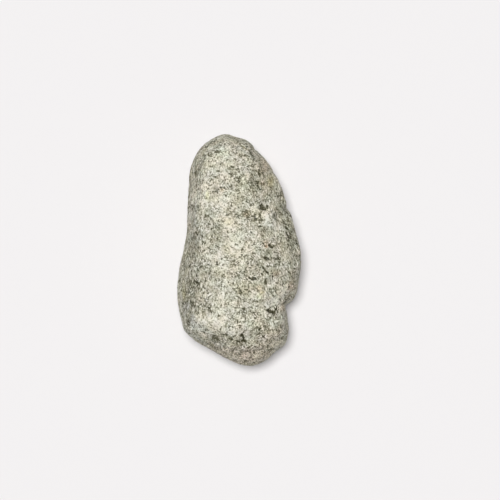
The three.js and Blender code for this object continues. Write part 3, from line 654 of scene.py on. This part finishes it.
# %% Liveliness of the grains
# middle x, y, reach along, across, how many times as lively as usual, turn
LIVELINESS = {
    "right rim, quiet": (9.6, 3, 3.2, 1.6, 0.68, 90),
    "shoulder slope, quiet": (7.8, 7.6, 4, 2, 0.85, -70),
    "right lobe, quiet": (9.4, -4.2, 2.8, 1.6, 0.8, 90),
    "crown, quiet": (-1.4, 15.2, 3.5, 2.6, 0.9),
    "below the middle, quiet": (0, -6.2, 2.2, 1.6, 0.8),
    "left waist, quiet": (-7.6, -7.2, 2, 1.6, 0.85, 90),
    "upper left edge, lively": (-7.5, 12, 3, 1.3, 1.4, 85),
    "left edge, lively": (-8.9, 8.2, 2.4, 1.1, 1.45, 90),
    "skewed slope, lively": (-6.6, -15.2, 2.2, 1.6, 1.3, -30),
    "foot, lively": (-2, -18, 2, 1.4, 1.25),
    "below the notch, lively": (7.2, -12.4, 1.8, 1.6, 1.15, 90),
}
BACK = 0.85            # how lively the back is, where the top is 1
TOP_FROM = 0.4         # the upright part of the normal from which on the skin is the top
ON_SLOPES = 0.3        # what a slope has more than level ground
SLOPE = (0.6, 0.25)    # the upright part of the normal on such a slope, and its reach
MAKE_UP = 0.2          # the tone that goes with liveliness 2

on_top = np.clip(normals[:, 2] / TOP_FROM, 0, 1)
to_slope = (normals[:, 2] - SLOPE[0]) / SLOPE[1]
liveliness = BACK + (1 - BACK) * on_top + ON_SLOPES * np.exp(-(to_slope**2))
for oval, times in felt(LIVELINESS.values()):
    liveliness *= 1 + (times - 1) * oval
    broad_tone_and_painted_light += MAKE_UP * (times - 1) * oval
print("liveliness from", round(float(liveliness.min()), 2), "to", round(float(liveliness.max()), 2))

# %% [markdown]
# ## Hollows deep enough to hold shade
#
# A few of the marks are real pits. Where a grain has fallen out, or where the rock has parted along a seam,
# the skin dips by some tenths of a millimetre and the light doesn't reach the bottom. The small dark marks
# dip a little too, because mica wears faster than quartz. On the steep right edge an oval seen from above
# would be no more than a line, so the four nicks there are short grooves down the wall. They wander as they
# go down and die out above and below the rim. A number for each vertex, the depth in millimetres, carries
# all of this to the relief.

# %% Depth of the hollows
# middle x, y, reach along, across, the depth in millimetres, turn
HOLLOWS = {
    "great pit": (6.3, -11.4, 1, 0.45, 0.65, -12),
    "upper pit above the foot": (0.8, -15.9, 0.6, 0.35, 0.3, 20),
    "lower pit above the foot": (0.9, -16.9, 0.5, 0.4, 0.3, 90),
    "side pit above the foot": (-0.3, -17.1, 0.3, 0.25, 0.2),
    "under the ledge": (4.8, 7.9, 1.2, 0.35, 0.3, -15),
    "brown hollow": (1.2, 7, 0.9, 0.6, 0.2),
    "split in the right lobe": (6, 0.7, 0.7, 0.3, 0.25, -32),
    "boat": (5.2, -1.6, 0.7, 0.3, 0.2, -22),
    "pit on the lower lobe": (2.75, -5.4, 0.45, 0.35, 0.2),
    "flank knot": (-7.8, -6.2, 0.55, 0.3, 0.2, -35),
    "slope patch": (-4.5, -16.5, 0.7, 0.45, 0.15, -25),
    "crown pit": (-4.1, 18.65, 0.5, 0.35, 0.15),
    "olive dot": (0.15, -7.9, 0.38, 0.38, 0.15),
}
MARK_DIP = 0.3          # how deep a dark mark dips, as a share of its smaller reach
# x, y, reach to each side, depth
NICKS = {
    "step in the shoulder": (3.06, 19.52, 0.5, 0.4),
    "below the shoulder": (6.55, 14.9, 0.5, 0.2),
    "above the waist": (9.13, 7.72, 0.7, 0.35),
    "crease of the notch": (9.1, -10.7, 0.6, 0.45),
}
RIM = 8.4               # height of the widest outline
NICK_REACH = 4          # up and down from there
WANDER = (0.35, 0.9)    # how far a nick wanders, and its wave in radians per millimetre

depth = np.zeros(len(points))
for oval, deep in felt(HOLLOWS.values()):
    depth = np.maximum(depth, deep * oval)
for x, y, along, across, strength, *turn in rows_of(DARK_MARKS):
    deep = MARK_DIP * min(along, across) * strength
    depth = np.maximum(depth, deep * soft_oval(x, y, along, across, *turn))
above_rim = points[:, 2] - RIM
wandering = WANDER[0] * np.sin(WANDER[1] * above_rim)
for x, y, width, deep in NICKS.values():
    away = np.hypot(points[:, 0] - x, points[:, 1] - y - wandering)
    depth = np.maximum(depth, deep * np.exp(-((away / width) ** 2) - (above_rim / NICK_REACH) ** 2))
print("deepest hollow, mm:", round(float(depth.max()), 2))

# %% [markdown]
# ## Marks scattered over the other sides
#
# The back and the edges are the same rock, so they get marks of the same sizes. None of those is listed:
# a draw picks vertices that face away from the show side, and each mark lies flat on the stone there, turned
# at random. The draw has a fixed seed, so every run scatters the same marks.

# %% Marks as places and directions
SHOW_HEIGHT = 14.0    # of the show face, roughly
TURNED_AWAY = 0.1     # the upright part of the normal below which the skin isn't on the show face
LONGEST = 2.6         # length of a scattered mark for a width of 1
STRENGTHS = (0.4, 0.95)


def on_show_face(x, y, along, across, strength, turn=0):
    """A mark seen from above: its middle, its two directions, its reaches and its strength."""
    return np.array([x, y, SHOW_HEIGHT]), *directions(turn), (along, across), strength


def scattered(amount, seed, smallest, largest):
    """Seeded marks on the sides and the back, flat on the stone where they lie."""
    draw = np.random.default_rng(seed)
    shaded = np.flatnonzero(normals[:, 2] < TURNED_AWAY)
    for vertex in draw.choice(shaded, amount, replace=False):
        outward = normals[vertex] / np.linalg.norm(normals[vertex])
        anywhere = draw.normal(size=3)
        long_way = anywhere - outward * (anywhere @ outward)
        long_way /= np.linalg.norm(long_way)
        across = draw.uniform(smallest, largest)
        along = across * draw.uniform(1.0, LONGEST)
        strength = draw.uniform(*STRENGTHS)
        yield points[vertex], long_way, np.cross(outward, long_way), (along, across), strength


dark_marks = [on_show_face(*row) for row in rows_of(DARK_MARKS)]
pale_marks_and_glints = [on_show_face(*row) for row in rows_of(PALE_MARKS_AND_GLINTS)]
dark_marks += scattered(amount=230, seed=11, smallest=0.13, largest=0.34)
pale_marks_and_glints += scattered(amount=60, seed=12, smallest=0.16, largest=0.5)
print(len(dark_marks), "dark and", len(pale_marks_and_glints), "pale marks")

# %% [markdown]
# ## Marks on sheets
#
# Some nodes for each mark would be more than a shader can hold. Instead every vertex near a mark remembers
# where it lies in that mark's own frame, as two numbers that are 1 at the reach, and how strong the mark is.
# Between vertices these run in straight lines, so the shader still finds a crisp border. Two marks that touch
# can't share a vertex, so they go on different sheets, as tracing paper is stacked.

# %% Lay the marks on sheets
SPREAD = 0.25      # neighbouring vertices are less than this many millimetres apart
OUTERMOST = 1.8    # a frayed border stays within this many reaches
THROUGH = 5        # and within this many millimetres above and below its mark
FACE_ON = 0.35     # a mark fades where the skin turns away from it further than this
NOWHERE = (9.0, 9.0, 0.0)
TOP_LIGHT_FROM = (0.45, 0.5)    # the upright part of the normal where the painted top light sets in, and how much further it is full


def sheets_of(marks):
    """As few sheets as keep neighbours apart. On each, a vertex holds two coordinates and a strength."""
    sheets = []
    for middle, long_way, cross_way, reach, strength in marks:
        away = points - middle
        outward = np.cross(long_way, cross_way)
        local = np.stack((away @ long_way / reach[0], away @ cross_way / reach[1]), axis=1)
        far = np.hypot(*local.T)
        facing = (np.abs(away @ outward) < THROUGH) & (normals @ outward > 0)
        ring = SPREAD / min(reach)
        touched = facing & (far < OUTERMOST + 2 * ring)
        sheet = next((s for s in sheets if not s["taken"][touched].any()), None)
        if sheet is None:
            sheet = {"taken": np.zeros(len(points), bool), "values": np.full((len(points), 3), NOWHERE)}
            sheets.append(sheet)
        sheet["taken"] |= touched
        sheet["values"][touched, :2] = local[touched]
        inside = facing & (far < OUTERMOST + ring)
        sheet["values"][inside, 2] = strength * np.clip(normals[inside] @ outward / FACE_ON, 0, 1)
    return [sheet["values"] for sheet in sheets]


def paint(name, kind, values):
    """Stores a value for every vertex of the skin, where the relief and the shader find it by name."""
    layer = skin.data.attributes.new(name, kind, "POINT")
    field = {"FLOAT": "value", "FLOAT_VECTOR": "vector", "FLOAT_COLOR": "color"}[kind]
    layer.data.foreach_set(field, np.ascontiguousarray(values, dtype=np.float32).ravel())
    return name


def painted_sheets(name, marks):
    """Paints the sheets of some marks and returns their names."""
    return [paint(f"{name} {i}", "FLOAT_VECTOR", sheet) for i, sheet in enumerate(sheets_of(marks))]


dark_sheets = painted_sheets("dark", dark_marks)
pale_and_glint_sheets = painted_sheets("pale", pale_marks_and_glints)
# painted light: the skin is painted lighter where it faces up, as light from above would light it
upward = np.clip((normals[:, 2] - TOP_LIGHT_FROM[0]) / TOP_LIGHT_FROM[1], 0, 1)
paint("worn", "FLOAT", upward * upward * (3 - 2 * upward))
paint("liveliness", "FLOAT", liveliness)
paint("broad tone", "FLOAT", TONE_GAIN * broad_tone_and_painted_light)
paint("depth", "FLOAT", depth)
paint("stain", "FLOAT_COLOR", np.column_stack((stain, np.ones(len(points)))))
print("sheets:", dark_sheets, pale_and_glint_sheets)

# %% [markdown]
# ## Relief from Geometry Nodes
#
# Weathering leaves three scales of relief: slow swells a few millimetres across, a roughness like coarse
# sandpaper, and the grains themselves. All three follow one rule over the whole stone, so a small tree of
# Geometry Nodes pushes each point along its normal by their sum. The depths are named inputs, easy to try
# out. A bump in the shader alone would leave the outline as smooth as soap. The relief dies out on the flat
# spot that the stone rests on.

# %% Relief tree
RELIEF = {"Swell": 0.32, "Roughness": 0.22, "Grain": 0.09}         # millimetres
RAISED = {"shade": 0.6, "film": -0.7, "thin": -0.5, "blot": -1}    # shares of Grain
WHOLE_FROM = 0.6    # the height, in millimetres, from which up the relief is whole


def relief_tree():
    """Moves each point along its normal, and gives the result its material."""
    tree = bpy.data.node_groups.new("weathered relief", "GeometryNodeTree")
    kinds = {"Geometry": "Geometry", **dict.fromkeys(RELIEF, "Float"), "Material": "Material"}
    for name, kind in kinds.items():
        tree.interface.new_socket(name, in_out="INPUT", socket_type="NodeSocket" + kind)
    tree.interface.new_socket("Geometry", in_out="OUTPUT", socket_type="NodeSocketGeometry")
    given = tree.nodes.new("NodeGroupInput")
    amount = {name: Wire(given.outputs[name]) for name in kinds}

    place = add_node(tree, "GeometryNodeInputPosition").vector("SCALE", Scale=1 / MM)
    swell = noise(place, 4.2, shift=7.0) - 0.5
    rough = noise(place, 1.3, shift=3.0, detail=3.0) - 0.5
    grains = total(grain(place), RAISED)
    stored = {"data_type": "FLOAT"}
    hollow = place.node("GeometryNodeInputNamedAttribute", stored, {"Name": "depth"}, "Attribute")
    height = amount["Swell"] * swell + amount["Roughness"] * rough + amount["Grain"] * grains - hollow
    above_rest = place.node("ShaderNodeSeparateXYZ", None, {"Vector": place}, "Z").step(0.0, WHOLE_FROM)
    push = add_node(tree, "GeometryNodeInputNormal").vector("SCALE", Scale=height * above_rest * MM)
    wanted = {"Geometry": amount["Geometry"], "Offset": push}
    moved = add_node(tree, "GeometryNodeSetPosition", None, wanted)
    real = add_node(tree, "GeometryNodeRealizeInstances", None, {"Geometry": moved})
    wanted = {"Geometry": real, "Material": amount["Material"]}
    coated = add_node(tree, "GeometryNodeSetMaterial", None, wanted)
    plug(tree.nodes.new("NodeGroupOutput").inputs["Geometry"], coated)
    return tree


relief = relief_tree()
print("relief tree has", len(relief.nodes), "nodes")

# %% [markdown]
# ## The lightness of the rock
#
# The stone has one family of colour, from near-black olive through grey-green to cream, and from grain to
# grain it is mostly the lightness that changes. So the recipe adds up to a single number, the tone.
#
# The finest mica flakes don't lie at random. The rock was squeezed as it formed, so on both flanks they line
# up with the stone's length, and in its middle they lie across it. A noise drawn out that way gives them
# their grain. It also breaks the weaker dark marks into crumbs, because a patch of dark mica is a crowd of
# flakes with pale rock between them, and only its core is filled.
#
# Salt and pepper are stirred unevenly: half a millimetre further on they may be twice as strong. A few lone
# flakes and painted white glints follow no rule at all, and the placed marks go over everything. The skin is
# painted lighter where it faces up, and the broad tones and some placed marks are painted light and shade
# too.

# %% Tone of the rock
BARE, TOP_LIGHT = 0.74, 0.14    # the tone between the grains, and the painted light that it gets where the skin faces up
# what grains add to the tone and mica takes away
GRAIN_TONES = {"shade": 0.11, "small": 0.13, "patch": 0.15}
SPECK, GRIT = 1.25, 0.4
MICA_TONES = {"film": 0.18, "thin": 0.22, "blot": 0.29, "needle": 0.34}
FLECK, MOST_MICA = 0.4, 0.5
# lone painted glints, and lone dark flakes
LONE_GLINT, LONE_DARK = 0.2, 0.4
PALE_TONE, DARK_TONE = 1.05, 0.03    # what the placed marks pull the tone towards
RAGGED = 1.8
# turn and stretch of the finest mica on the left, in the middle and on the right, and where these blend
MICA_LIES = [(86, 3.0), (-15, 1.5), (-72, 3.0)]
LEFT_BLEND, RIGHT_BLEND = (-7.0, -3.0), (3.0, 7.0)


def kept(place, name, output="Fac"):
    """What the vertices hold under a name."""
    return place.node("ShaderNodeAttribute", {"attribute_name": name}, None, output)


def fine_mica(place):
    """The finest flakes, as a noise around 0 that lies as the mica does on each side."""
    flakes = {"shift": 8.0, "detail": 1.0, "roughness": 0.6}
    left, middle, right = (noise(drawn_out(place, *lie), 0.21, **flakes) - 0.5 for lie in MICA_LIES)
    across = place.node("ShaderNodeSeparateXYZ", None, {"Vector": place}, "X")
    speck = left + across.step(*LEFT_BLEND) * (middle - left)
    return speck + across.step(*RIGHT_BLEND) * (right - middle)


def marks_from(sheets, ragged):
    """The marks of all sheets together, 0 to their strength, with borders frayed by a noise around 0."""
    together = 0.0
    for name in sheets:
        held = kept(ragged, name, "Vector")
        strength = ragged.node("ShaderNodeSeparateXYZ", None, {"Vector": held}, "Z")
        away = held.vector("MULTIPLY", (1, 1, 0)).vector("LENGTH")
        mark = strength * (away + ragged).step(1.65, 0.85)
        together = mark.math("MAXIMUM", mark, together)
    return together


def bare_tone(place, rock, speck):
    """The rock without its placed marks: grains and dark mica on a ground, with painted light and lone
    glints.
    """
    stir = noise(place, 0.5, shift=27.0, detail=1.0).step(0.38, 0.62)
    contrast = kept(place, "liveliness") * (1 + rock["crowd"]) * (0.6 + 0.8 * stir)
    lively = speck * (1 - 0.8 * speck)
    grit = cells(drawn_out(place, turn=90, stretch=1.8), 0.17, shift=31.0) - 0.5
    grains = total(rock, GRAIN_TONES) + SPECK * lively + GRIT * grit
    # the lit top is painted light from above, and the broad tone is partly painted light and shade
    ground = BARE + contrast * grains + TOP_LIGHT * kept(place, "worn") + kept(place, "broad tone")
    fleck = noise(place, 0.36, shift=21.0, detail=1.0, roughness=0.6).step(0.63, 0.69)
    mica = total(rock, MICA_TONES) + FLECK * fleck
    tone = ground - contrast * mica.math("MINIMUM", mica, MOST_MICA)
    lone = cells(place, 0.27, shift=44.0)
    return tone + LONE_GLINT * lone.step(0.05, 0.03) - LONE_DARK * lone.step(0.94, 0.96)


def rock_tone(place, rock, speck):
    """The tone with all marks on it. A mark pulls it towards a tone of its own, which speck keeps alive."""
    ragged = RAGGED * (noise(place, 0.28, shift=4.0, roughness=0.7) - 0.5)
    dark = marks_from(dark_sheets, ragged)
    pale = marks_from(pale_and_glint_sheets, ragged)
    tone = bare_tone(place, rock, speck)
    # pale marks pull the tone towards white, which paints the glints among them
    tone = tone + pale * pale * (PALE_TONE + 0.5 * speck - tone)
    filled = 0.25 + 0.55 * dark * dark * dark
    crumbs = speck.step(0.08, -0.02)
    # the dark marks include painted shade in the pits
    return tone + dark * (filled + crumbs - filled * crumbs) * (DARK_TONE + 0.3 * speck - tone)


print("tone recipe ready")

# %% [markdown]
# ## The colour and the shine of the rock
#
# A colour ramp of one family, from dark to pale, turns tone into colour. No patch is quite the colour of the
# next, so two slow noises, about 2 mm wide, lean whole patches of grains towards sage or buff and towards
# moss or rose, and the stains come on top.
#
# Mica splits into flat glossy sheets and quartz doesn't, so a few grains are smooth and shine as the stone
# is turned. A faint bump, finer than the mesh can hold, roughens the rest.

# %% Rock material
TONE_COLOURS = [
    (0.0, (0.030, 0.028, 0.010)),
    (0.25, (0.105, 0.099, 0.056)),
    (0.5, (0.268, 0.256, 0.183)),
    (0.75, (0.522, 0.500, 0.393)),
    (1.0, (0.836, 0.807, 0.695)),
]
SAGE, BUFF = (0.975, 1.0, 1.035, 1), (1.025, 1.0, 0.965, 1)
MOSS, ROSE = (0.99, 1.012, 0.99, 1), (1.01, 0.988, 1.01, 1)
DULL, SHINE = 0.78, 0.4    # the roughness of quartz, and how much less a flat flake of mica has
BUMP_STRENGTH, BUMP_DEPTH = 0.5, 0.06 * MM


def lean(place, size, shift, one, other):
    """A slow change from one colour to another and back."""
    factor = noise(place, size, shift, detail=3.0).step(0.3, 0.7)
    return place.node("ShaderNodeMix", {"data_type": "RGBA"}, {"Factor": factor, "A": one, "B": other})


def rock_colour(place, tone):
    """The colour of a tone, leaned and stained by where it is."""
    colour = place.node("ShaderNodeValToRGB", {"stops": TONE_COLOURS}, {"Fac": tone}, "Color")
    leans = lean(place, 2.4, 6.0, SAGE, BUFF), lean(place, 1.8, 16.0, MOSS, ROSE)
    multiply = {"data_type": "RGBA", "blend_type": "MULTIPLY"}
    for other in (*leans, kept(place, "stain", "Color")):
        colour = place.node("ShaderNodeMix", multiply, {"Factor": 1.0, "A": colour, "B": other})
    return colour


def rock_material():
    material = bpy.data.materials.new("felted_mica")
    material.use_nodes = True
    tree = material.node_tree
    tree.nodes.clear()
    place = add_node(tree, "ShaderNodeTexCoord", None, None, "Object").vector("SCALE", Scale=1 / MM)
    rock = grain(place)
    speck = fine_mica(place)
    glossy = cells(place, 0.5, shift=12.0).step(0.8, 0.95)
    bumps = {"Strength": BUMP_STRENGTH, "Distance": BUMP_DEPTH, "Height": speck - rock["blot"]}
    shader = tree.nodes.new("ShaderNodeBsdfPrincipled")
    plug(shader.inputs["Base Color"], rock_colour(place, rock_tone(place, rock, speck)))
    plug(shader.inputs["Roughness"], DULL - SHINE * glossy - 0.12 * rock["blot"])
    plug(shader.inputs["Normal"], place.node("ShaderNodeBump", None, bumps))
    plug(shader.inputs["Specular IOR Level"], 0.4)
    plug(tree.nodes.new("ShaderNodeOutputMaterial").inputs["Surface"], Wire(shader.outputs[0]))
    return material


felted_mica = rock_material()
print("rock material has", len(felted_mica.node_tree.nodes), "nodes")

# %% [markdown]
# ## Weather the skin
#
# The tree goes on the skin as a modifier. Its inputs are set before the skin is first evaluated, and by
# identifier, since a name may occur twice. The result is kept as a plain mesh, so that what the shader paints
# and what leaves the scene are the same points.

# %% Weather the skin
weathering = skin.modifiers.new("weathering", "NODES")
weathering.node_group = relief
chosen = {**RELIEF, "Material": felted_mica}
for item in relief.interface.items_tree:
    if item.in_out == "INPUT" and item.name in chosen:
        weathering[item.identifier] = chosen[item.name]
stone = plain_mesh("stone", skin)
bpy.data.objects.remove(skin)
stone.data.shade_smooth()
print("stone has", len(stone.data.polygons), "faces")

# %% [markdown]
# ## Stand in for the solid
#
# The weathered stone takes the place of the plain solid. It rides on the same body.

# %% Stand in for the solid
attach(stone, "root")
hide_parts("fuchsite")
print("the stone rides on root")

# %% [markdown]
# ## The floor
#
# The stone lies on a sheet of pale paper. One flat disc is enough, with a dull finish, so that the only thing
# on it is a soft shadow.

# %% Floor
def paper_material():
    material = bpy.data.materials.new("pale_paper")
    material.use_nodes = True
    shader = material.node_tree.nodes["Principled BSDF"]
    shader.inputs["Base Color"].default_value = (0.836, 0.82, 0.824, 1)
    shader.inputs["Roughness"].default_value = 0.9
    return material


bpy.ops.mesh.primitive_circle_add(vertices=96, radius=3, fill_type="NGON")
floor = bpy.context.object
floor.name = "floor"
floor.data.materials.append(paper_material())
floor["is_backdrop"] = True
print("floor is", round(floor.dimensions.x), "m wide")

# %% [markdown]
# ## The light
#
# Rough stone shows its relief when light comes from one side, and goes flat when it comes from everywhere.
# Here one broad, soft sun stands nearly above the stone and a little towards its upper left, with a faint
# even glow from all around that keeps the shaded walls readable.

# %% Light
SUN_STANDS = (-0.07, 0.12, 0.98)
sun = bpy.data.lights.new("key", "SUN")
sun.energy, sun.angle = 3.0, math.radians(18)
lamp = add_object("key", sun)
lamp.rotation_euler = Vector(SUN_STANDS).to_track_quat("Z", "Y").to_euler()
world = bpy.data.worlds.new("studio")
world.use_nodes = True
glow = world.node_tree.nodes["Background"]
glow.inputs["Color"].default_value = (1.0, 0.99, 0.985, 1)
glow.inputs["Strength"].default_value = 0.13
bpy.context.scene.world = world
bpy.context.scene.view_settings.view_transform = "Standard"
print("sun strength", sun.energy)

# %% [markdown]
# ## The camera
#
# The camera hangs straight above the stone and looks down, with the crown at the top of the picture. A long
# lens from 32 centimetres away keeps the near side of the stone from bulging.

# %% Camera
PICTURE_WIDTH = 96.25 * MM    # what the picture takes in, half way up the stone
TO_THE_RIGHT = 2.1 * MM       # of the stone's middle
LENS = 120.0
SENSOR = 36.0
lens = bpy.data.cameras.new("camera")
lens.lens, lens.sensor_width = LENS, SENSOR
lens.clip_start, lens.clip_end = 0.01, 20
camera = add_object("camera", lens)
camera.location = (TO_THE_RIGHT, 0.0, 0.5 * highest.z + PICTURE_WIDTH * LENS / SENSOR)
bpy.context.scene.camera = camera
print("camera height, mm:", round(camera.location.z / MM))

# %% [markdown]
# ## Sizes
#
# Relief may not make the stone bigger than the solid it stands for. How much the box has grown over the
# solid's is printed, so the two can be compared after every change.

# %% Sizes, and the end
visual_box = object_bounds()
grown = (visual_box[1] - visual_box[0]) - (solid_box[1] - solid_box[0])
print("grown by, mm:", [round(side / MM, 2) for side in grown])
